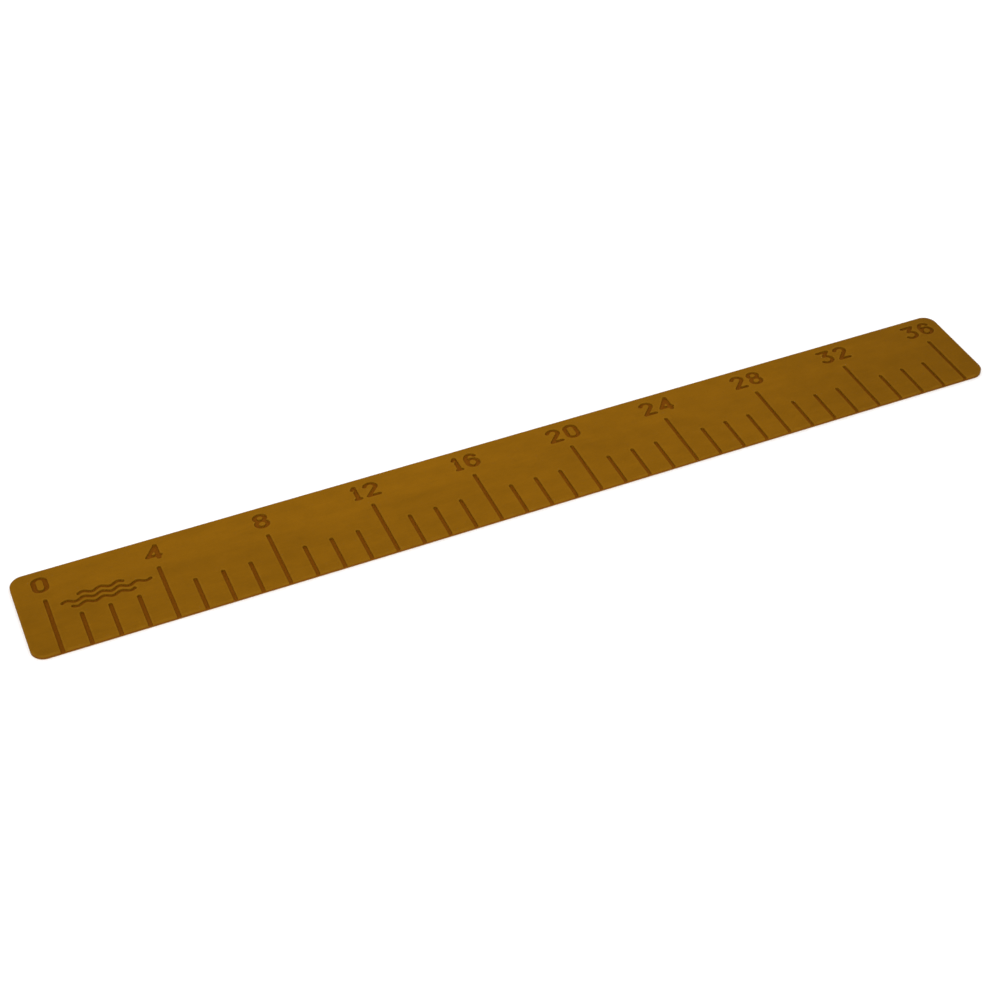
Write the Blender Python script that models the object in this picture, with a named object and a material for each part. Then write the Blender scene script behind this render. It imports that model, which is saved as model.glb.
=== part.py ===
"""A 36 inch peel-and-stick foam ruler for a boat deck or a bench, modelled as a stack of sheets.

From the bottom up the stack is a release liner in two halves, a sheet of adhesive, a dark foam base
ply and a brown foam top ply. The inch marks, the numerals and a wave ornament are cut right through
the top ply, so the dark base ply shows as their floor. The closed eye of each numeral is left behind
as a loose island of top ply.

The origin is under the middle of the stack, on the surface it lies on. +X runs along the scale, from
0 to 36, +Y runs across it, from the marked edge to the numerals, and +Z is up.
"""

import cmath
import math

import bmesh
import bpy

INCH = 0.0254

# The sheet
SCALE_INCHES = 36
END_MARGIN = 1.0 * INCH  # blank sheet beyond the first and the last mark
LENGTH = SCALE_INCHES * INCH + 2 * END_MARGIN
WIDTH = 4.0 * INCH
CORNER_RADIUS = 0.5 * INCH

# The stack, from the bottom up, with the glue line or film between two sheets left as a gap
LINER_THICKNESS = 0.0002
ADHESIVE_THICKNESS = 0.0002
BASE_THICKNESS = 0.0010
TOP_THICKNESS = 0.0020
LAYER_GAP = 0.0003
LINER_SPLIT = 0.0004  # the slit between the liner's halves

# The scale
MARK_WIDTH = 0.15 * INCH
INCHES_PER_NUMERAL = 4
SHORT_MARK = 1.52 * INCH  # from the marked edge to the mark's round end
LONG_MARK = 2.58 * INCH
OVERRUN = 0.004  # how far a mark's cut leaves the sheet at the marked edge

# The numerals. They are drawn with a round pen and then stretched along the scale, which makes their
# upright strokes bolder than their level ones. Widths and heights here are of the pen's own line,
# before the stretch.
PEN = 0.135 * INCH
STRETCH = 1.28
NUMERAL_HEIGHT = 0.77 * INCH - PEN
DIGIT_WIDTH = 0.585 * INCH / STRETCH - PEN
ONE_WIDTH = 0.33 * INCH / STRETCH - PEN
DIGIT_SPACE = 0.14 * INCH  # clear sheet between two digits, after the stretch
NUMERAL_FAR_MARGIN = 0.3 * INCH  # from a numeral's top to the sheet's far edge
EYE_ROUNDING = 0.0006  # of the corners of the islands left in the numerals' eyes

# The wave ornament between the marks for 0 and 4
WAVE_WIDTH = 0.13 * INCH
WAVE_LENGTH = 0.62 * INCH
WAVE_HEIGHT = 0.06 * INCH  # from a line's middle to a crest
WAVE_SPACING = 0.25 * INCH
WAVE_START = 0.5 * INCH  # along the scale
WAVE_MIDDLE = 2.14 * INCH  # of the middle line, from the marked edge
WAVE_LINES = ((-1, 0.5, 4.0), (0, 0.0, 5.0), (1, 1.0, 3.5))  # row, first wave and last wave

CORNER_STEPS = 14
ARC_STEP = math.radians(12)
CAP_STEPS = 8
WAVE_STEPS = 10  # for each wave

# Heights of each sheet's underside
LINER_Z = 0.0
ADHESIVE_Z = LINER_Z + LINER_THICKNESS + LAYER_GAP
BASE_Z = ADHESIVE_Z + ADHESIVE_THICKNESS + LAYER_GAP
TOP_Z = BASE_Z + BASE_THICKNESS + LAYER_GAP

# Flat shapes are lists of complex numbers, x + yj, in metres.


def arc(centre, radius_x, radius_y, start, end):
    """Points on an ellipse's arc between two angles in degrees, at about ARC_STEP each."""
    start, end = math.radians(start), math.radians(end)
    steps = max(2, round(abs(end - start) / ARC_STEP))
    angles = [start + (end - start) * i / steps for i in range(steps + 1)]
    return [centre + complex(radius_x * math.cos(a), radius_y * math.sin(a)) for a in angles]


def ellipse(centre, radius_x, radius_y):
    """A closed ellipse, anticlockwise, with no point repeated."""
    return arc(centre, radius_x, radius_y, 180, 540)[:-1]


def heading(start, end):
    """The unit step from one point towards another."""
    return (end - start) / abs(end - start)


def offset_corner(point, before, after, distance):
    """A path's corner moved to its right by distance, with a round joint on the outside of a sharp turn."""
    turn = cmath.phase(after / before)
    if turn * distance > 0 and abs(turn) > 2 * ARC_STEP:
        steps = math.ceil(abs(turn) / ARC_STEP)
        return [point - 1j * before * distance * cmath.rect(1, turn * i / steps) for i in range(steps + 1)]
    middle = heading(0, before + after)
    return [point - 1j * middle * distance / math.cos(turn / 2)]


def ring_offset(ring, distance):
    """A closed anticlockwise path moved outwards by distance, or inwards if distance is negative."""
    moved = []
    for i, point in enumerate(ring):
        before = heading(ring[i - 1], point)
        after = heading(point, ring[(i + 1) % len(ring)])
        moved += offset_corner(point, before, after, distance)
    return moved


def cap(centre, direction, radius):
    """A round pen's half circle past the end of a path, from its right side to its left."""
    turns = [math.pi * i / CAP_STEPS for i in range(CAP_STEPS + 1)]
    return [centre - 1j * direction * radius * cmath.rect(1, turn) for turn in turns]


def swept(path, width):
    """The outline that a round pen of this width covers along an open path."""
    radius = width / 2
    sides = []
    for points in (path, path[::-1]):
        for before, point, after in zip(points, points[1:], points[2:]):
            sides += offset_corner(point, heading(before, point), heading(point, after), radius)
        sides += cap(points[-1], heading(points[-2], points[-1]), radius)
    return sides


def sheet_outline(left, right, round_left=True, round_right=True):
    """The sheet's outline between two values of x, with its corners rounded at the ends that ask for it."""
    bottom, top, radius = -WIDTH / 2, WIDTH / 2, CORNER_RADIUS
    corners = (
        (complex(left, bottom), 1 + 1j, 180, round_left),
        (complex(right, bottom), -1 + 1j, 270, round_right),
        (complex(right, top), -1 - 1j, 0, round_right),
        (complex(left, top), 1 - 1j, 90, round_left),
    )
    outline = []
    for corner, inwards, start, is_round in corners:
        if not is_round:
            outline.append(corner)
            continue
        centre = corner + inwards * radius
        for i in range(CORNER_STEPS + 1):
            angle = math.radians(start + 90 * i / CORNER_STEPS)
            outline.append(centre + cmath.rect(radius, angle))
    return outline


# Each digit is a dict of what the pen follows, from its lower left corner: open paths, closed rings
# whose inside is left as an island, and the patches that open paths close between them, whose inside
# is an island too.


def digit(width=DIGIT_WIDTH, paths=(), rings=(), patches=()):
    return {"width": width, "paths": paths, "rings": rings, "patches": patches}


def zero():
    """A tall ring with straight sides."""
    radius = DIGIT_WIDTH / 2
    low = arc(complex(radius, radius), radius, radius, 180, 360)
    high = arc(complex(radius, NUMERAL_HEIGHT - radius), radius, radius, 0, 180)
    return digit(rings=[low + high])


def one():
    """A stem with a flag at its top, on a foot. The stem ends just inside the foot's lower side."""
    middle = ONE_WIDTH / 2
    flag = complex(0, 0.83 * NUMERAL_HEIGHT)
    stem = [flag, complex(middle, NUMERAL_HEIGHT), complex(middle, 0.02 * NUMERAL_HEIGHT)]
    return digit(ONE_WIDTH, paths=[stem, [0j, complex(ONE_WIDTH, 0)]])


def two():
    """A round top, a slanted neck and a foot."""
    radius = DIGIT_WIDTH / 2
    top = arc(complex(radius, NUMERAL_HEIGHT - radius), radius, radius, 165, -35)
    return digit(paths=[top + [0j, complex(DIGIT_WIDTH, 0)]])


def three():
    """A flat top whose slant runs down to a round bowl."""
    waist = 0.6 * NUMERAL_HEIGHT
    top = [
        complex(0, NUMERAL_HEIGHT),
        complex(DIGIT_WIDTH, NUMERAL_HEIGHT),
        complex(0.4 * DIGIT_WIDTH, waist),
    ]
    centre = complex(0.46 * DIGIT_WIDTH, waist / 2)
    bowl = arc(centre, 0.54 * DIGIT_WIDTH, waist / 2, 90, -150)
    return digit(paths=[top, bowl])


def four():
    """A slant and a bar that close a triangle against the stem. The slant starts below the stem's top."""
    width = 1.1 * DIGIT_WIDTH
    stem_x = 0.84 * width
    bar_y = 0.2 * NUMERAL_HEIGHT
    slant_top = complex(stem_x, 0.97 * NUMERAL_HEIGHT)
    bar_left = complex(0, bar_y)
    slant_and_bar = [slant_top, bar_left, complex(width, bar_y)]
    stem = [complex(stem_x, NUMERAL_HEIGHT), complex(stem_x, 0)]
    triangle = [bar_left, complex(stem_x, bar_y), slant_top]
    return digit(width, paths=[slant_and_bar, stem], patches=[triangle])


def six():
    """A round bowl whose left side runs up into an arm."""
    bowl_y = 0.31 * NUMERAL_HEIGHT
    arm_y = 0.6 * NUMERAL_HEIGHT
    middle = DIGIT_WIDTH / 2
    bowl = ellipse(complex(middle, bowl_y), middle, bowl_y)
    bend = arc(complex(middle, arm_y), middle, NUMERAL_HEIGHT - arm_y, 180, 35)
    return digit(paths=[[complex(0, bowl_y)] + bend], rings=[bowl])


def eight():
    """Two bowls that share their line at the waist."""
    waist = 0.53 * NUMERAL_HEIGHT
    middle = DIGIT_WIDTH / 2
    low = ellipse(complex(middle, waist / 2), middle, waist / 2)
    high_radius = (NUMERAL_HEIGHT - waist) / 2
    high = ellipse(complex(middle, waist + high_radius), 0.92 * middle, high_radius)
    return digit(rings=[low, high])


DIGITS = {"0": zero(), "1": one(), "2": two(), "3": three(), "4": four(), "6": six(), "8": eight()}


def scale_x(inches):
    """Where a reading on the scale lies along X."""
    return (inches - SCALE_INCHES / 2) * INCH


def placed_digits():
    """Each digit of each numeral, with the numeral it belongs to and its lower left corner on the sheet."""
    low = WIDTH / 2 - NUMERAL_FAR_MARGIN - PEN / 2 - NUMERAL_HEIGHT
    gap = DIGIT_SPACE + PEN * STRETCH
    for inches in range(0, SCALE_INCHES + 1, INCHES_PER_NUMERAL):
        numeral = str(inches)
        shapes = [DIGITS[character] for character in numeral]
        total = sum(shape["width"] * STRETCH for shape in shapes) + gap * (len(shapes) - 1)
        left = scale_x(inches) - total / 2
        for shape in shapes:
            yield numeral, shape, complex(left, low)
            left += shape["width"] * STRETCH + gap


def placed(outline, corner):
    """A digit's outline stretched and moved to its place."""
    return [corner + complex(point.real * STRETCH, point.imag) for point in outline]


def mark_outlines():
    """The slot of each inch mark. It runs out through the marked edge and ends round on the sheet."""
    outlines = []
    for inches in range(SCALE_INCHES + 1):
        reach = SHORT_MARK if inches % INCHES_PER_NUMERAL else LONG_MARK
        start = complex(scale_x(inches), -WIDTH / 2 - OVERRUN)
        end = complex(scale_x(inches), -WIDTH / 2 + reach - MARK_WIDTH / 2)
        outlines.append(swept([start, end], MARK_WIDTH))
    return outlines


def wave_outlines():
    """The lines of the wave ornament, one above another, with their crests in line."""
    outlines = []
    for row, first, last in WAVE_LINES:
        middle = -WIDTH / 2 + WAVE_MIDDLE + row * WAVE_SPACING
        steps = round((last - first) * WAVE_STEPS)
        path = []
        for i in range(steps + 1):
            waves = first + i / WAVE_STEPS
            x = scale_x(0) + WAVE_START + waves * WAVE_LENGTH
            path.append(complex(x, middle + WAVE_HEIGHT * math.sin(2 * math.pi * waves)))
        outlines.append(swept(path, WAVE_WIDTH))
    return outlines


def prism(name, outlines, bottom, thickness, origin=0j):
    """An object that holds each flat outline as a sheet of this thickness, with its origin at the bottom."""
    mesh = bpy.data.meshes.new(name)
    shape = bmesh.new()
    for outline in outlines:
        corners = [shape.verts.new((p.real - origin.real, p.imag - origin.imag, 0)) for p in outline]
        face = shape.faces.new(corners)
        raised = bmesh.ops.extrude_face_region(shape, geom=[face])["geom"]
        lifted = [v for v in raised if isinstance(v, bmesh.types.BMVert)]
        bmesh.ops.translate(shape, verts=lifted, vec=(0, 0, thickness))
    bmesh.ops.recalc_face_normals(shape, faces=shape.faces)
    shape.to_mesh(mesh)
    shape.free()
    made = bpy.data.objects.new(name, mesh)
    made.location = (origin.real, origin.imag, bottom)
    bpy.context.scene.collection.objects.link(made)
    return made


def cutter(name, outlines, collection):
    """A hidden solid that passes right through the top ply, kept in the collection that is cut from it."""
    made = prism(name, outlines, TOP_Z - TOP_THICKNESS, 3 * TOP_THICKNESS)
    bpy.context.scene.collection.objects.unlink(made)
    collection.objects.link(made)
    made.hide_render = True
    made.display_type = "WIRE"
    return made


def paint(made, name, colour, roughness):
    """Gives an object a Principled material of its own."""
    material = bpy.data.materials.new(name)
    material.use_nodes = True
    shader = material.node_tree.nodes["Principled BSDF"]
    shader.inputs["Base Color"].default_value = (*colour, 1)
    shader.inputs["Roughness"].default_value = roughness
    shader.inputs["Metallic"].default_value = 0
    made.data.materials.append(material)


BROWN_FOAM = (0.224, 0.093, 0.003)
DARK_FOAM = (0.157, 0.051, 0.002)
ADHESIVE_AMBER = (0.46, 0.31, 0.12)
LINER_KRAFT = (0.47, 0.31, 0.155)


def make_mark_cutters():
    """Everything that is cut out of the top ply. Shapes that cross each other go into different cutters."""
    cutters = bpy.data.collections.new("mark_cutters")
    bpy.context.scene.collection.children.link(cutters)
    cutter("scale_cutter", mark_outlines() + wave_outlines(), cutters)
    layers = {}
    for _, shape, corner in placed_digits():
        pieces = [ring_offset(ring, PEN / 2) for ring in shape["rings"]]
        pieces += [swept(path, PEN) for path in shape["paths"]]
        pieces += shape["patches"]
        for layer, piece in enumerate(pieces):
            layers.setdefault(layer, []).append(placed(piece, corner))
    for layer, pieces in layers.items():
        cutter(f"numeral_cutter_{layer + 1}", pieces, cutters)
    return cutters


def make_top_ply():
    """The brown face of the ruler, with the scale, the numerals and the ornament cut through it."""
    ply = prism("top_ply", [sheet_outline(-LENGTH / 2, LENGTH / 2)], TOP_Z, TOP_THICKNESS)
    cut = ply.modifiers.new("cut_marks", "BOOLEAN")
    cut.operation = "DIFFERENCE"
    cut.solver = "EXACT"
    cut.operand_type = "COLLECTION"
    cut.collection = make_mark_cutters()
    paint(ply, "brown_foam", BROWN_FOAM, 0.95)
    return [ply]


def make_numeral_islands():
    """The closed eyes of the numerals: loose pieces of top ply that only the base ply holds."""
    islands = []
    for numeral, shape, corner in placed_digits():
        eyes = list(shape["rings"]) + list(shape["patches"])
        for eye, place in zip(eyes, ("", "_upper")):
            inner = ring_offset(eye, -PEN / 2 - EYE_ROUNDING)
            outline = placed(ring_offset(inner, EYE_ROUNDING), corner)
            name = f"numeral_{numeral}{place}_island"
            middle = sum(outline) / len(outline)
            islands.append(prism(name, [outline], TOP_Z, TOP_THICKNESS, middle))
            paint(islands[-1], name + "_foam", BROWN_FOAM, 0.95)
    return islands


def make_base_ply():
    """The dark foam that shows as the floor of every cut."""
    ply = prism("base_ply", [sheet_outline(-LENGTH / 2, LENGTH / 2)], BASE_Z, BASE_THICKNESS)
    paint(ply, "dark_foam", DARK_FOAM, 0.9)
    return [ply]


def make_adhesive_sheet():
    """The pressure-sensitive adhesive that bonds the ruler to a deck or a bench."""
    outline = sheet_outline(-LENGTH / 2, LENGTH / 2)
    film = prism("adhesive_sheet", [outline], ADHESIVE_Z, ADHESIVE_THICKNESS)
    paint(film, "adhesive_film", ADHESIVE_AMBER, 0.35)
    return [film]


def make_release_liners():
    """The two halves of the backing, which pull out lengthwise, each from the slit at the middle."""
    halves = []
    for name, side in (("release_liner_left", -1), ("release_liner_right", 1)):
        inner, outer = side * LINER_SPLIT / 2, side * LENGTH / 2
        outline = sheet_outline(min(inner, outer), max(inner, outer), side < 0, side > 0)
        half = prism(name, [outline], LINER_Z, LINER_THICKNESS, complex(inner, 0))
        paint(half, name + "_paper", LINER_KRAFT, 0.6)
        halves.append(half)
    return halves


def clear_scene():
    for thing in list(bpy.data.objects):
        bpy.data.objects.remove(thing, do_unlink=True)


def build():
    clear_scene()
    ruler = bpy.data.objects.new("ruler", None)
    bpy.context.scene.collection.objects.link(ruler)
    sheets = make_top_ply() + make_base_ply() + make_adhesive_sheet() + make_release_liners()
    for part in sheets + make_numeral_islands():
        part.parent = ruler


build()
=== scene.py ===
"""The looks of the foam deck ruler.

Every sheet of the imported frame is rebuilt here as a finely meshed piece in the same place: the brown
face with its cut edges rounded over, the loose eyes of the numerals, the dark ply with the shallow
floor that each cut leaves in it, the adhesive film and the two halves of the liner. Lengths are in
metres. +X runs along the scale, +Y from the marked edge to the numerals, and +Z is up.
"""

import math

import bmesh
import bpy
import numpy as np
from mathutils import Matrix, Vector, noise
from mathutils.bvhtree import BVHTree
from mathutils.geometry import delaunay_2d_cdt


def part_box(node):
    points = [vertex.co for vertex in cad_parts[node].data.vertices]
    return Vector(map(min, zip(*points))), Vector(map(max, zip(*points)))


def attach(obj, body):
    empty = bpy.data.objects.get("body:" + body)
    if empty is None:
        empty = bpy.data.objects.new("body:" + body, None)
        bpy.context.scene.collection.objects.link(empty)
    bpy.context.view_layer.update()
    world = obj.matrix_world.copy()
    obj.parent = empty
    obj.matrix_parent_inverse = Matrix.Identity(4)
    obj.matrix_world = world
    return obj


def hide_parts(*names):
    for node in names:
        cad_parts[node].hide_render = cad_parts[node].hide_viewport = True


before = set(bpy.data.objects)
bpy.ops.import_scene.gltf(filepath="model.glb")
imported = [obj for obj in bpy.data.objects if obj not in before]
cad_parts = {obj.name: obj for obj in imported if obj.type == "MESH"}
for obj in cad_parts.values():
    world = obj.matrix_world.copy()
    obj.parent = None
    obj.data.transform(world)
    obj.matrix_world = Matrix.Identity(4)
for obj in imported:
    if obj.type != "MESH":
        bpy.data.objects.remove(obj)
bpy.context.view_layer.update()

# The view: what the camera looks at, and from where
CAMERA_AIM = Vector((-0.04176, -0.02595, 0.00215))
CAMERA_DISTANCE = 1.6236
CAMERA_AZIMUTH = math.radians(-24.38)
CAMERA_ELEVATION = math.radians(43.282)
CAMERA_ROLL = math.radians(0.616)
CAMERA_LENS = 63.07

# Meshing
WELD = 1e-6
ON_RIM = 1e-5  # a point of the face this close to the dark ply's outline lies on it
TIP_WELD = 0.00005  # for the points of an open edge, where an outline folds over itself at a sharp tip
FLAT = 0.9  # a face whose normal has more than this along Z counts as level
FENCE_REACH = 0.01  # how far above and below zero a fence stands
CROWD = 0.00025  # points on an outline closer than this are thinned out
CORNER = math.radians(28)  # except where the outline turns by more than this
WALL_STEP = 0.0015  # how far apart the points are along the cuts' walls
FACE_STEP = 0.0028  # on the brown face
FLOOR_STEP = 0.0009  # on the floors of the cuts
RIM_STEP = 0.0018  # along the dark ply's outline
HIDDEN_STEP = 0.008  # on the undersides that are bonded to the next sheet
GRID_MARGIN = 0.6  # share of a grid's step that its points keep to every outline
BLOCK = 200  # how many points are looked at together
SETTLE_STEPS = 14
FIRST_MOVE = 0.2  # share of the way in that a point goes along its own bisector, before it settles
SHARP = math.radians(38)

# The rounded upper edge of cut foam
EDGE_RADIUS = 0.0003
EDGE_ROWS = 4
EDGE_SUPPORT = 0.00025  # a last row this much further in keeps the face's shading flat
CUT_WANDER = 0.00008  # how far the cut strays into the foam, and over what length
CUT_WANDER_LENGTH = 0.004
CUT_WANDER_SHIFT = 0.15  # how much the straying differs from one row of the edge to the next
FACE_SWELL = 0.00007  # how far the face dips, and over what length
FACE_SWELL_LENGTH = 0.035

CUT_DEPTH = 0.00025  # how deep a cut bites into the dark ply
CUT_ROUNDING = 0.0007  # over what distance from its wall a cut's floor drops to that depth
CUT_CHATTER = 0.0022  # the length of the floor's unevenness
CUT_SHALLOWEST = 0.7  # share of the depth where the floor is highest, and where it is lowest
CUT_DEEPEST = 1.3
EDGE_WEAR = 0.0015  # how far in from a cut edge the foam is rubbed
EYE_STEP = 0.0012  # FACE_STEP and EDGE_SUPPORT for the small eyes of the numerals
EYE_SUPPORT = 0.0001
FILM_THICKNESS = 0.00025
FILM_STEP = 0.006
FILM_CLEARANCE = 0.00005  # keeps the film off the liner, which slides
PAPER_STEP = 0.005
PAPER_WAVE = 0.00012  # how far the liner lifts, and over what length
PAPER_WAVE_LENGTH = 0.06

# Colours
BROWN = (0.208, 0.086, 0.0022)
# painted shade in the pits of the brown foam's cells
BROWN_PORE_SHADE = (0.12, 0.046, 0.0012)
BROWN_RUBBED = (0.25, 0.114, 0.006)
DARK = (0.192, 0.060, 0.002)
# painted shade in the pits of the dark foam's cells
DARK_PORE_SHADE = (0.10, 0.028, 0.001)
AMBER = (0.46, 0.31, 0.12)
AMBER_BUBBLE = (0.62, 0.47, 0.24)
KRAFT = (0.47, 0.31, 0.155)
KRAFT_FIBRE = (0.60, 0.44, 0.26)
KRAFT_EDGE = (0.36, 0.22, 0.10)
PALE = (0.985, 0.985, 0.985)

# The foam's colour carries painted light: palest near the middle of the strip, with painted shade past
# the last mark. The numerals' side of the face is painted a little paler, as painted light on a slightly
# cupped face.
LIGHT_POOL_MIDDLE = -0.07
LIGHT_POOL_REACH = 1.2  # how far from its middle the painted light's curve would come down to nothing
LIGHT_POOL_TONE = 1.01  # the tone at its middle
END_SHADE_FROM = 0.455  # where the painted shade past the last mark starts, and where it is complete
END_SHADE_TO = 0.485
END_SHADE_TONE = 0.96
END_SHADE_RAGGED = 0.03
LIT_SIDE_LINE = 0.0107  # where the plain side meets the painted paler side, across the strip
LIT_SIDE_BLEND = 0.0025  # half of the width over which one side blends into the other
LIT_SIDE_RAGGED = 0.005  # how far that line strays
LIT_SIDE_TONE = 1.06

# The grain of the foam: its sizes along X, Y and Z, and the depth of the relief on each surface
STREAK = (0.02, 0.0009, 0.002)  # the broad streaks of the brushing
RIDGE = (0.015, 0.0011, 0.002)  # the relief that goes with them
SCRATCH = (0.0025, 0.0003, 0.0008)  # its fine scratches
FACE_PORE = 0.00042  # how far apart the pores are
FLOOR_PORE = 0.00045
FACE_RELIEF = 0.0002
FLOOR_RELIEF = 0.00016
FILM_RELIEF = 0.00008
PAPER_RELIEF = 0.00005
FOAM_SPECULAR = 0.03
FILM_SPECULAR = 0.4
PAPER_SPECULAR = 0.35

# The studio
FLOOR_REACH = 30.0
FLOOR_Z = -0.00005
SURROUND_STRENGTH = 1.0
SOFTBOX_SIZE = 2.4
SOFTBOX_POWER = 28.0
SOFTBOX_PLACE = Vector((-1.0, -1.5, 2.3))


# Outlines are lists of 2-D points, with the material on their left.


def outlines_of(node):
    """The closed outlines of the upper face of a frame node."""
    shape = bmesh.new()
    shape.from_mesh(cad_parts[node].data)
    bmesh.ops.remove_doubles(shape, verts=shape.verts, dist=WELD)
    shape.normal_update()
    following = {}
    for face in shape.faces:
        if face.normal.z < FLAT:
            continue
        for corner in face.loops:
            level = [f for f in corner.edge.link_faces if f is not face and f.normal.z > FLAT]
            if not level:
                following[corner.vert] = corner.link_loop_next.vert
    outlines = []
    while following:
        start, point = following.popitem()
        outline = [start.co.xy]
        while point is not start:
            outline.append(point.co.xy)
            point = following.pop(point)
        outlines.append(outline)
    shape.free()
    return outlines


def around(outline):
    """Each point of a closed outline with the one before it and the one after it."""
    return zip(outline[-1:] + outline[:-1], outline, outline[1:] + outline[:1])


def resampled(outline, step=WALL_STEP):
    """The outline with crowded points thinned out and long sides divided."""
    kept = []
    for before, point, after in around(outline):
        turns = (point - before).angle(after - point) > CORNER
        if turns or not kept or (point - kept[-1]).length > CROWD:
            kept.append(point)
    finer = []
    for _, point, after in around(kept):
        count = max(1, round((after - point).length / step))
        finer += [point.lerp(after, i / count) for i in range(count)]
    return finer


def fence(outlines):
    """Upright strips along the outlines, in a tree that tells how far off the nearest one is."""
    corners = []
    sides = []
    for outline in outlines:
        for _, point, after in around(outline):
            first = len(corners)
            corners += [(*point, -FENCE_REACH), (*after, -FENCE_REACH)]
            corners += [(*after, FENCE_REACH), (*point, FENCE_REACH)]
            sides.append(range(first, first + 4))
    return BVHTree.FromPolygons(corners, sides)


def distance_to(tree, point):
    """How far a 2-D point is from the fence in the tree."""
    return tree.find_nearest((*point, 0))[3]


def moved_in(outline, distances, tree):
    """Each point of the outline moved into the material, until it is its distance from every edge."""
    moved = []
    for (before, point, after), distance in zip(around(outline), distances):
        along = ((point - before).normalized() + (after - point).normalized()).normalized()
        place = point + Vector((-along.y, along.x)) * distance * FIRST_MOVE
        for _ in range(SETTLE_STEPS):
            gap = place - tree.find_nearest((*place, 0))[0].xy
            short = distance - gap.length
            if short < WELD / 10:
                break
            place = place + gap.normalized() * short
        moved.append(place)
    return moved


def loose_points(outlines, step, tree):
    """A triangular grid over the outlines' box, without the points that crowd an outline."""
    xs = [point.x for outline in outlines for point in outline]
    ys = [point.y for outline in outlines for point in outline]
    rise = step * math.sqrt(0.75)
    points = []
    for row in range(int((max(ys) - min(ys)) / rise) + 1):
        y = min(ys) + row * rise
        for column in range(int((max(xs) - min(xs)) / step) + 1):
            point = Vector((min(xs) + (column + row % 2 / 2) * step, y))
            if distance_to(tree, point) > GRID_MARGIN * step:
                points.append(point)
    return points


def sides_of(outlines):
    """Every side of the outlines, as an array of start and end points."""
    return np.array([(point, after) for outline in outlines for _, point, after in around(outline)])


def turns_round(points, outlines):
    """How many times the outlines run anticlockwise round each point."""
    sides = sides_of(outlines)
    points = np.array(points)
    turns = np.zeros(len(points), int)
    for block in np.array_split(np.argsort(points[:, 0]), len(points) // BLOCK + 1):
        x, y = points[block, :1], points[block, 1:]
        near = (sides[:, :, 0].min(1) <= x.max()) & (sides[:, :, 0].max(1) > x.min())
        start, end = sides[near, 0], sides[near, 1]
        rightward = (start[:, 0] <= x) & (x < end[:, 0])
        leftward = (end[:, 0] <= x) & (x < start[:, 0])
        run = end[:, 0] - start[:, 0]
        slope = (end[:, 1] - start[:, 1]) / np.where(run == 0, 1, run)
        under = start[:, 1] + slope * (x - start[:, 0]) < y
        turns[block] = (rightward & under).sum(1) - (leftward & under).sum(1)
    return turns


def triangulated(outlines, loose):
    """Delaunay triangles over the outlines' points and the loose ones, none of which crosses an outline.

    Returns the coordinates of the points that it adds to those given, and the triangles as places among
    the outlines' points, the loose ones and the added ones, in that order."""
    points = [point for outline in outlines for point in outline] + loose
    sides = []
    first = 0
    for outline in outlines:
        count = len(outline)
        sides += [(first + i, first + (i + 1) % count) for i in range(count)]
        first += count
    coords, _, triangles, origins, _, _ = delaunay_2d_cdt(points, sides, [], 0, WELD, True)
    number = {index: given[0] for index, given in enumerate(origins) if given}
    added = [index for index, given in enumerate(origins) if not given]
    number.update({index: len(points) + i for i, index in enumerate(added)})
    faces = [tuple(number[corner] for corner in triangle) for triangle in triangles]
    return [coords[index] for index in added], faces


def middles(points, faces):
    """The middle of each triangle."""
    return np.array([point[:2] for point in points])[np.array(faces)].mean(1)


def filled(outlines, step, tree):
    """Triangles that fill the outlines, and the points that they use beyond the outlines' own."""
    loose = loose_points(outlines, step, tree)
    added, faces = triangulated(outlines, loose)
    given = [point for outline in outlines for point in outline]
    inside = turns_round(middles(given + loose + added, faces), outlines) > 0
    return loose + added, [face for face, kept in zip(faces, inside) if kept]


def ripple(point, length, seed=0.0):
    """Smooth noise from 0 to 1 with features of about this length."""
    place = Vector((point[0] / length, point[1] / length, seed))
    return 0.5 + 0.5 * max(-1.0, min(1.0, noise.noise(place)))


def closed(shape):
    """Welds a mesh and closes the slits that are left in it at sharp tips."""
    bmesh.ops.remove_doubles(shape, verts=shape.verts, dist=WELD)
    bmesh.ops.dissolve_degenerate(shape, edges=shape.edges, dist=WELD)
    loose = [v for v in shape.verts if not v.link_faces]
    bmesh.ops.delete(shape, geom=loose, context="VERTS")
    open_points = [v for v in shape.verts if v.is_boundary]
    bmesh.ops.remove_doubles(shape, verts=open_points, dist=TIP_WELD)
    bmesh.ops.dissolve_degenerate(shape, edges=shape.edges, dist=WELD)
    bmesh.ops.holes_fill(shape, edges=[e for e in shape.edges if e.is_boundary], sides=0)
    unfilled = [e for e in shape.edges if e.is_boundary]
    if unfilled:
        bmesh.ops.contextual_create(shape, geom=unfilled)
    shape.normal_update()
    bmesh.ops.triangulate(shape, faces=[face for face in shape.faces if len(face.verts) > 4])


def mesh_object(name, points, faces, edge_share):
    """A smooth-shaded object, with how close each point is to a cut edge kept as the attribute edge."""
    mesh = bpy.data.meshes.new(name)
    mesh.from_pydata(points, [], faces)
    edge = mesh.attributes.new("edge", "FLOAT", "POINT")
    edge.data.foreach_set("value", edge_share)
    shape = bmesh.new()
    shape.from_mesh(mesh)
    closed(shape)
    shape.to_mesh(mesh)
    shape.free()
    mesh.shade_smooth()
    mesh.set_sharp_from_angle(angle=SHARP)
    made = bpy.data.objects.new(name, mesh)
    bpy.context.scene.collection.objects.link(made)
    return made


def wall_faces(outlines, rows):
    """Quads between rows of points, where each row holds the outlines' points in order."""
    count = sum(len(outline) for outline in outlines)
    faces = []
    first = 0
    for outline in outlines:
        for i in range(len(outline)):
            a, b = first + i, first + (i + 1) % len(outline)
            for row in range(rows - 1):
                low, high = row * count, (row + 1) * count
                faces.append((low + a, low + b, high + b, high + a))
        first += len(outline)
    return faces


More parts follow.
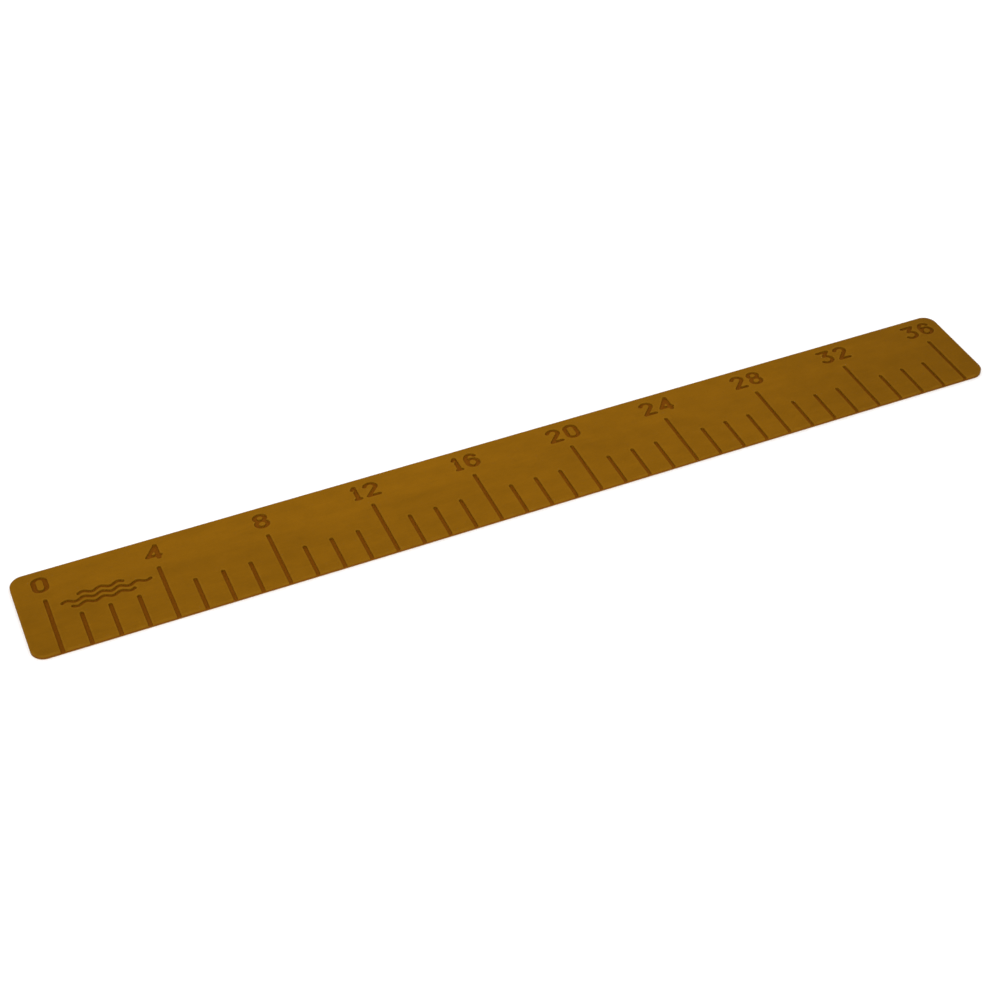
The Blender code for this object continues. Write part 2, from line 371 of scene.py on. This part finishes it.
def lidded(faces, first, count, beyond):
    """A lid's faces, numbered as the points of a whole piece.

    Its outline's own points are the count from first on, and the rest start at beyond."""
    return [tuple(i + first if i < count else i - count + beyond for i in face) for face in faces]


def face_dip(point):
    """How far the foam's face lies under its highest level."""
    return FACE_SWELL * ripple(point, FACE_SWELL_LENGTH, seed=7.0)


def foam_sheet(name, outlines, low, high, step=FACE_STEP, support=EDGE_SUPPORT):
    """A sheet of foam between two heights, its upper edges rounded over and its cut slightly unsteady."""
    outlines = [resampled(outline) for outline in outlines]
    tree = fence(outlines)
    rows = [(0.0, low), (0.0, (low + high - EDGE_RADIUS) / 2), (0.0, high - EDGE_RADIUS)]
    for i in range(1, EDGE_ROWS + 1):
        angle = math.pi / 2 * i / EDGE_ROWS
        rows.append((EDGE_RADIUS * (1 - math.cos(angle)), high - EDGE_RADIUS * (1 - math.sin(angle))))
    rows.append((EDGE_RADIUS + support, high))
    points = []
    for level, (inset, height) in enumerate(rows):
        moved = []
        for outline in outlines:
            seed = level * CUT_WANDER_SHIFT
            drift = [CUT_WANDER * ripple(point, CUT_WANDER_LENGTH, seed) for point in outline]
            moved.append(moved_in(outline, [inset + d for d in drift], tree))
            dip_share = level / (len(rows) - 1)
            points += [(*point, height - face_dip(point) * dip_share) for point in moved[-1]]
        if level == 0:
            lowest = moved
    faces = wall_faces(outlines, len(rows))
    count = len(points) // len(rows)
    edge_share = [1.0] * len(points)
    added, lid = filled(moved, step, tree)
    faces += lidded(lid, len(points) - count, count, len(points))
    points += [(*point, high - face_dip(point)) for point in added]
    edge_share += [math.exp(-distance_to(tree, point) / EDGE_WEAR) for point in added]
    added, lid = filled(lowest, HIDDEN_STEP, tree)
    faces += [face[::-1] for face in lidded(lid, 0, count, len(points))]
    points += [(*point, low) for point in added]
    edge_share += [0.0] * len(added)
    return mesh_object(name, points, faces, edge_share)


def cut_floor(name, rim, covers, low, high):
    """The dark ply. Where no cover lies on it, it shows as the floor of a cut, hollowed by the cutter.

    The rim is the covers' own outer outline without the cuts that run out through it."""
    tree = fence(covers)
    outlines = [rim] + covers
    loose = loose_points([rim], FLOOR_STEP, tree)
    bare = (turns_round(loose, covers) == 0) & (turns_round(loose, [rim]) > 0)
    loose = [point for point, shows in zip(loose, bare) if shows]
    added, faces = triangulated(outlines, loose)
    given = [point for outline in outlines for point in outline] + loose + added
    inside = turns_round(middles(given, faces), [rim]) > 0
    faces = [face for face, kept in zip(faces, inside) if kept]
    points = []
    edge_share = []
    for point in given:
        away = distance_to(tree, point)
        bowl = min(1.0, away / CUT_ROUNDING)
        chatter = ripple(point, CUT_CHATTER, seed=3.0)
        share = CUT_SHALLOWEST + (CUT_DEEPEST - CUT_SHALLOWEST) * chatter
        points.append((*point, high - CUT_DEPTH * bowl * (2 - bowl) * share))
        edge_share.append(math.exp(-away / EDGE_WEAR))
    count = len(rim)
    first = len(points)
    points += [(*point, low) for point in rim]
    points += [(*point, (low + points[i][2]) / 2) for i, point in enumerate(rim)]
    edge_share += [1.0] * (2 * count)
    for i in range(count):
        j = (i + 1) % count
        faces.append((first + i, first + j, first + count + j, first + count + i))
        faces.append((first + count + i, first + count + j, j, i))
    added, lid = filled([rim], HIDDEN_STEP, fence([rim]))
    faces += [face[::-1] for face in lidded(lid, first, count, len(points))]
    points += [(*point, low) for point in added]
    edge_share += [0.0] * len(added)
    return mesh_object(name, points, faces, edge_share)


def thin_sheet(name, outlines, low, high, step, wave=0.0, wave_length=1.0):
    """A film or a paper between two heights. It lies in waves that lift it by up to wave."""
    outlines = [resampled(outline, step) for outline in outlines]
    tree = fence(outlines)
    added, lid = filled(outlines, step, tree)
    flat = [point for outline in outlines for point in outline] + added
    count = len(flat) - len(added)
    lift = [wave * ripple(point, wave_length) for point in flat]
    points = [(*point, low + rise) for point, rise in zip(flat, lift)]
    points += [(*point, high + rise) for point, rise in zip(flat, lift)]
    faces = [face[::-1] for face in lid] + [tuple(i + len(flat) for i in face) for face in lid]
    first = 0
    for outline in outlines:
        for i in range(len(outline)):
            a, b = first + i, first + (i + 1) % len(outline)
            faces.append((a, b, b + len(flat), a + len(flat)))
        first += len(outline)
    edge_share = [math.exp(-distance_to(tree, point) / EDGE_WEAR) for point in flat] * 2
    return mesh_object(name, points, faces, edge_share)


# Materials. Every pattern is placed by the object's own coordinates, in metres.


def add(tree, kind, inputs, **settings):
    """A new shader node. An input is given a value, or another node's output socket to link to."""
    node = tree.nodes.new("ShaderNode" + kind)
    for name, value in settings.items():
        setattr(node, name, value)
    for key, value in inputs.items():
        if isinstance(value, bpy.types.NodeSocket):
            tree.links.new(value, node.inputs[key])
        else:
            node.inputs[key].default_value = value
    return node


def started(name):
    """A new material's node tree, its Principled shader and the object's coordinates."""
    material = bpy.data.materials.new(name)
    material.use_nodes = True
    tree = material.node_tree
    place = add(tree, "TexCoord", {}).outputs["Object"]
    return material, tree, tree.nodes["Principled BSDF"], place


def grain(tree, place, size, detail=2.0, roughness=0.5, shift=0.0):
    """Noise around 0.5 whose features are about size long, or size[0] by size[1] by size[2]."""
    sizes = size if isinstance(size, tuple) else (size, size, size)
    inputs = {"Vector": place, "Scale": tuple(1 / s for s in sizes), "Location": (shift, shift, shift)}
    scaled = add(tree, "Mapping", inputs)
    inputs = {"Vector": scaled.outputs[0], "Scale": 1.0, "Detail": detail, "Roughness": roughness}
    return add(tree, "TexNoise", inputs).outputs["Fac"]


def pores(tree, place, size, opening):
    """Round dark cells scattered size apart: 1 in the middle of a pore and 0 outside it."""
    inputs = {"Vector": place, "Scale": 1 / size}
    cells = add(tree, "TexVoronoi", inputs).outputs["Distance"]
    inputs = {"Value": cells, "From Min": opening * 0.4, "From Max": opening, "To Min": 1.0, "To Max": 0.0}
    return add(tree, "MapRange", inputs, interpolation_type="SMOOTHSTEP").outputs[0]


def ranged(tree, value, low, high, to_low=0.0, to_high=1.0):
    """A value spread from one range to another and held within it."""
    inputs = {"Value": value, "From Min": low, "From Max": high, "To Min": to_low, "To Max": to_high}
    return add(tree, "MapRange", inputs).outputs[0]


def summed(tree, start, parts):
    """start plus each value times its own weight."""
    total = start
    for value, weight in parts:
        total = add(tree, "Math", {0: value, 1: weight, 2: total}, operation="MULTIPLY_ADD").outputs[0]
    return total


def product(tree, first, second):
    """Two values multiplied."""
    return add(tree, "Math", {0: first, 1: second}, operation="MULTIPLY").outputs[0]


def centred(parts):
    """What to start a sum from so that noise around 0.5, at these weights, leaves it at 1."""
    return 1.0 - sum(weight for _, weight in parts) / 2


def mixed(tree, share, first, second):
    """One colour blended into another by share."""
    return add(tree, "Mix", {0: share, 6: first, 7: second}, data_type="RGBA").outputs[2]


def toned(tree, colour, tone):
    """A colour made lighter or darker by a factor."""
    return add(tree, "HueSaturation", {"Value": tone, "Color": colour}).outputs[0]


def bumped(tree, shader, height, depth):
    """Relief of this depth in metres."""
    bump = add(tree, "Bump", {"Height": height, "Distance": depth, "Strength": 1.0})
    tree.links.new(bump.outputs[0], shader.inputs["Normal"])


def finished(tree, shader, colour, roughness, specular, sheen=0.0, tint=(1, 1, 1, 1)):
    """Links a surface's colour and roughness to its shader, and sets its gloss and its sheen."""
    tree.links.new(colour, shader.inputs["Base Color"])
    tree.links.new(roughness, shader.inputs["Roughness"])
    shader.inputs["Specular IOR Level"].default_value = specular
    shader.inputs["Sheen Weight"].default_value = sheen
    shader.inputs["Sheen Roughness"].default_value = 0.6
    shader.inputs["Sheen Tint"].default_value = tint


def opaque(colour):
    """A colour with full alpha."""
    return (*colour, 1.0)


def edge_share(tree):
    """How close the surface is to a cut edge, from 1 at the edge down to 0."""
    return add(tree, "Attribute", {}, attribute_name="edge").outputs["Fac"]


def painted_light_along_strip(tree, place):
    """Painted light along the strip as a factor: palest at the middle, painted shade past the last mark."""
    along = add(tree, "SeparateXYZ", {"Vector": place}).outputs[0]
    from_middle = summed(tree, -LIGHT_POOL_MIDDLE, [(along, 1.0)])
    squared = product(tree, from_middle, from_middle)
    drift = summed(tree, LIGHT_POOL_TONE, [(squared, -LIGHT_POOL_TONE / LIGHT_POOL_REACH**2)])
    ragged = summed(tree, along, [(grain(tree, place, 0.05, 2.0, shift=2.0), END_SHADE_RAGGED)])
    return product(tree, drift, ranged(tree, ragged, END_SHADE_FROM, END_SHADE_TO, 1.0, END_SHADE_TONE))


def painted_light_on_numerals_side(tree, place):
    """Painted light that makes the numerals' side of the face paler, as a factor."""
    across = add(tree, "SeparateXYZ", {"Vector": place}).outputs[1]
    straying = grain(tree, place, (0.06, 0.02, 0.02), 2.0, shift=5.0)
    ragged = summed(tree, across, [(straying, LIT_SIDE_RAGGED)])
    line = LIT_SIDE_LINE + LIT_SIDE_RAGGED / 2
    return ranged(tree, ragged, line - LIT_SIDE_BLEND, line + LIT_SIDE_BLEND, 1.0, LIT_SIDE_TONE)


def brown_foam():
    """Brushed closed-cell foam: cloudy, finely speckled, brushed along the strip and rubbed at its edges."""
    material, tree, shader, place = started("brushed_brown_foam")
    parts = [
        (grain(tree, place, 0.16, 3.0), 0.16),
        (grain(tree, place, (0.05, 0.012, 0.012), 3.0, shift=4.0), 0.16),
        (grain(tree, place, (0.022, 0.015, 0.015), 3.0, shift=7.0), 0.24),
        (grain(tree, place, STREAK, 2.0, shift=9.0), 0.16),
        (grain(tree, place, SCRATCH, 3.0, 0.6, shift=6.0), 0.30),
        (grain(tree, place, 0.0005, 2.0, 0.7), 0.20),
    ]
    # The tone carries painted light along the strip and painted shade past the last mark.
    tone = product(tree, summed(tree, centred(parts), parts), painted_light_along_strip(tree, place))
    # Painted light: the numerals' side of the face is made a little paler.
    tone = product(tree, tone, painted_light_on_numerals_side(tree, place))
    colour = toned(tree, opaque(BROWN), tone)
    cells = pores(tree, place, FACE_PORE, 0.42)
    # Painted shade: the pits of the cells are darkened.
    colour = mixed(tree, summed(tree, 0.0, [(cells, 0.22)]), colour, opaque(BROWN_PORE_SHADE))
    rubbed = product(tree, edge_share(tree), grain(tree, place, 0.006, 3.0))
    colour = mixed(tree, ranged(tree, rubbed, 0.25, 0.7, 0.0, 0.4), colour, opaque(BROWN_RUBBED))
    height = summed(tree, 0.0, [
        (grain(tree, place, 0.0006, 3.0, 0.7), 1.0),
        (grain(tree, place, RIDGE, 2.0, shift=9.0), 0.7),
        (grain(tree, place, SCRATCH, 3.0, 0.6, shift=6.0), 0.6),
        (cells, -0.3),
    ])
    bumped(tree, shader, height, FACE_RELIEF)
    roughness = ranged(tree, grain(tree, place, 0.004, 2.0), 0.3, 0.7, 0.86, 0.98)
    finished(tree, shader, colour, roughness, FOAM_SPECULAR, 0.05, opaque(BROWN))
    return material


def dark_foam():
    """The cut floor and the lower edge: bare cells, the cutter's fine marks and a little paler dust."""
    material, tree, shader, place = started("dark_cut_foam")
    parts = [
        (grain(tree, place, 0.09, 3.0), 0.12),
        (grain(tree, place, 0.0025, 3.0, 0.6), 0.25),
        (grain(tree, place, 0.0007, 2.0, 0.7), 0.25),
    ]
    # The tone carries painted light along the strip and painted shade past the last mark.
    tone = product(tree, summed(tree, centred(parts), parts), painted_light_along_strip(tree, place))
    colour = toned(tree, opaque(DARK), tone)
    cells = pores(tree, place, FLOOR_PORE, 0.45)
    # Painted shade: the pits of the cells are darkened.
    colour = mixed(tree, summed(tree, 0.0, [(cells, 0.35)]), colour, opaque(DARK_PORE_SHADE))
    dust = ranged(tree, grain(tree, place, 0.0019, 4.0, 0.7, shift=5.0), 0.6, 0.72, 0.0, 0.35)
    colour = mixed(tree, dust, colour, opaque(BROWN))
    height = summed(tree, 0.0, [
        (grain(tree, place, 0.0006, 3.0, 0.7), 1.0),
        (grain(tree, place, (0.0022, 0.0005, 0.001), 1.0, shift=6.0), 0.6),
        (cells, -0.4),
    ])
    bumped(tree, shader, height, FLOOR_RELIEF)
    roughness = ranged(tree, grain(tree, place, 0.003, 2.0), 0.3, 0.7, 0.8, 0.96)
    finished(tree, shader, colour, roughness, FOAM_SPECULAR, 0.04, opaque(DARK))
    return material


def film():
    """Amber pressure-sensitive adhesive: glossy, with flow streaks and fine bubbles."""
    material, tree, shader, place = started("amber_adhesive")
    parts = [
        (grain(tree, place, (0.12, 0.004, 0.01), 3.0), 0.16),
        (grain(tree, place, 0.03, 3.0, shift=3.0), 0.12),
        (grain(tree, place, 0.001, 2.0), 0.06),
    ]
    colour = toned(tree, opaque(AMBER), summed(tree, centred(parts), parts))
    bubbles = pores(tree, place, 0.006, 0.12)
    colour = mixed(tree, summed(tree, 0.0, [(bubbles, 0.5)]), colour, opaque(AMBER_BUBBLE))
    height = summed(tree, 0.0, [(grain(tree, place, 0.003, 3.0), 1.0), (bubbles, 0.8)])
    bumped(tree, shader, height, FILM_RELIEF)
    roughness = ranged(tree, grain(tree, place, 0.012, 2.0), 0.3, 0.7, 0.22, 0.42)
    finished(tree, shader, colour, roughness, FILM_SPECULAR)
    return material


def liner_paper():
    """Coated kraft paper: long pale fibres, a mill direction along the strip and a satin coat."""
    material, tree, shader, place = started("coated_liner_paper")
    parts = [
        (grain(tree, place, 0.08, 3.0), 0.05),
        (grain(tree, place, (0.004, 0.0007, 0.001), 4.0, 0.7), 0.12),
        (grain(tree, place, 0.0006, 2.0, 0.8, shift=3.0), 0.08),
    ]
    colour = toned(tree, opaque(KRAFT), summed(tree, centred(parts), parts))
    fibres = grain(tree, place, (0.0035, 0.0004, 0.001), 3.0, 0.6, shift=8.0)
    colour = mixed(tree, ranged(tree, fibres, 0.6, 0.75, 0.0, 0.5), colour, opaque(KRAFT_FIBRE))
    worn = ranged(tree, edge_share(tree), 0.3, 1.0, 0.0, 0.25)
    colour = mixed(tree, worn, colour, opaque(KRAFT_EDGE))
    height = summed(tree, 0.0, [(grain(tree, place, (0.003, 0.0009, 0.001), 4.0, 0.6), 1.0)])
    bumped(tree, shader, height, PAPER_RELIEF)
    roughness = ranged(tree, grain(tree, place, 0.02, 2.0), 0.3, 0.7, 0.38, 0.55)
    finished(tree, shader, colour, roughness, PAPER_SPECULAR)
    return material


def placed_piece(piece, body, material, slot, *nodes):
    """Gives a piece its material and its body, and hides the frame nodes that it stands for."""
    piece.data.materials.append(material)
    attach(piece, body)
    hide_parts(*nodes)


def joint_height(lower, upper):
    """Where two stacked sheets meet: halfway across the gap that the frame leaves between them."""
    return (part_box(lower)[1].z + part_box(upper)[0].z) / 2


def film_heights():
    """The adhesive's underside, clear of the liner, and the face that the dark ply is bonded to."""
    low = joint_height("release_liner_left", "adhesive_sheet")
    return low, low + FILM_THICKNESS


def make_foam():
    """The brown face, the eyes of the numerals and the dark ply."""
    brown, dark = brown_foam(), dark_foam()
    low, high = joint_height("base_ply", "top_ply"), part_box("top_ply")[1].z
    face_outlines = outlines_of("top_ply")
    face = foam_sheet("brown_face", face_outlines, low, high)
    placed_piece(face, "strip", brown, "brown_foam", "top_ply")
    covers = [resampled(outline) for outline in face_outlines]
    for node in sorted(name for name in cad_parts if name.endswith("_island")):
        outlines = outlines_of(node)
        eye = foam_sheet(node.replace("_island", "_eye"), outlines, low, high, EYE_STEP, EYE_SUPPORT)
        placed_piece(eye, "strip", brown, "brown_foam", node)
        covers += [resampled(outline) for outline in outlines]
    base = fence(outlines_of("base_ply"))
    longest = max(covers, key=len)
    rim = resampled([point for point in longest if distance_to(base, point) < ON_RIM], RIM_STEP)
    ply = cut_floor("dark_base", rim, covers, film_heights()[1], low)
    placed_piece(ply, "strip", dark, "dark_foam", "base_ply")


def make_backing():
    """The adhesive film and the two halves of its liner."""
    film_low, film_high = film_heights()
    outlines = outlines_of("adhesive_sheet")
    sheet = thin_sheet("adhesive_film", outlines, film_low, film_high, FILM_STEP)
    placed_piece(sheet, "strip", film(), "adhesive_film", "adhesive_sheet")
    paper = liner_paper()
    thickness = film_low - FILM_CLEARANCE - PAPER_WAVE
    for side in ("left", "right"):
        node = "release_liner_" + side
        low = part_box(node)[0].z
        measures = (low, low + thickness, PAPER_STEP, PAPER_WAVE, PAPER_WAVE_LENGTH)
        half = thin_sheet("liner_paper_" + side, outlines_of(node), *measures)
        placed_piece(half, "liner_" + side, paper, "liner_paper", node)


def make_camera():
    """A camera above the strip's marked edge, a little to its left."""
    back = Vector((
        math.sin(CAMERA_AZIMUTH) * math.cos(CAMERA_ELEVATION),
        -math.cos(CAMERA_AZIMUTH) * math.cos(CAMERA_ELEVATION),
        math.sin(CAMERA_ELEVATION),
    ))
    data = bpy.data.cameras.new("camera")
    data.lens = CAMERA_LENS
    camera = bpy.data.objects.new("camera", data)
    turn = (-back).to_track_quat("-Z", "Y").to_matrix() @ Matrix.Rotation(CAMERA_ROLL, 3, "Z")
    camera.matrix_world = Matrix.Translation(CAMERA_AIM + back * CAMERA_DISTANCE) @ turn.to_4x4()
    bpy.context.scene.collection.objects.link(camera)
    bpy.context.scene.camera = camera


def make_floor():
    """A pale floor that reaches far past the strip."""
    floor_mesh = bpy.data.meshes.new("floor")
    reach = FLOOR_REACH
    corners = [(x * reach, y * reach, FLOOR_Z) for x, y in ((-1, -1), (1, -1), (1, 1), (-1, 1))]
    floor_mesh.from_pydata(corners, [], [(0, 1, 2, 3)])
    floor = bpy.data.objects.new("floor", floor_mesh)
    material = bpy.data.materials.new("pale_floor")
    material.use_nodes = True
    shader = material.node_tree.nodes["Principled BSDF"]
    shader.inputs["Base Color"].default_value = opaque(PALE)
    shader.inputs["Roughness"].default_value = 0.9
    shader.inputs["Specular IOR Level"].default_value = 0.0
    floor_mesh.materials.append(material)
    bpy.context.scene.collection.objects.link(floor)


def make_light():
    """A white surround and one large soft lamp over the marked edge's left end."""
    world = bpy.data.worlds.new("surround")
    world.use_nodes = True
    background = world.node_tree.nodes["Background"]
    background.inputs["Color"].default_value = (1, 1, 1, 1)
    background.inputs["Strength"].default_value = SURROUND_STRENGTH
    bpy.context.scene.world = world
    data = bpy.data.lights.new("softbox", "AREA")
    data.shape = "SQUARE"
    data.size = SOFTBOX_SIZE
    data.energy = SOFTBOX_POWER
    softbox = bpy.data.objects.new("softbox", data)
    softbox.location = SOFTBOX_PLACE
    softbox.rotation_euler = (-SOFTBOX_PLACE).to_track_quat("-Z", "Y").to_euler()
    bpy.context.scene.collection.objects.link(softbox)
    bpy.context.scene.view_settings.view_transform = "Standard"


make_camera()
make_light()
make_floor()
make_foam()
make_backing()
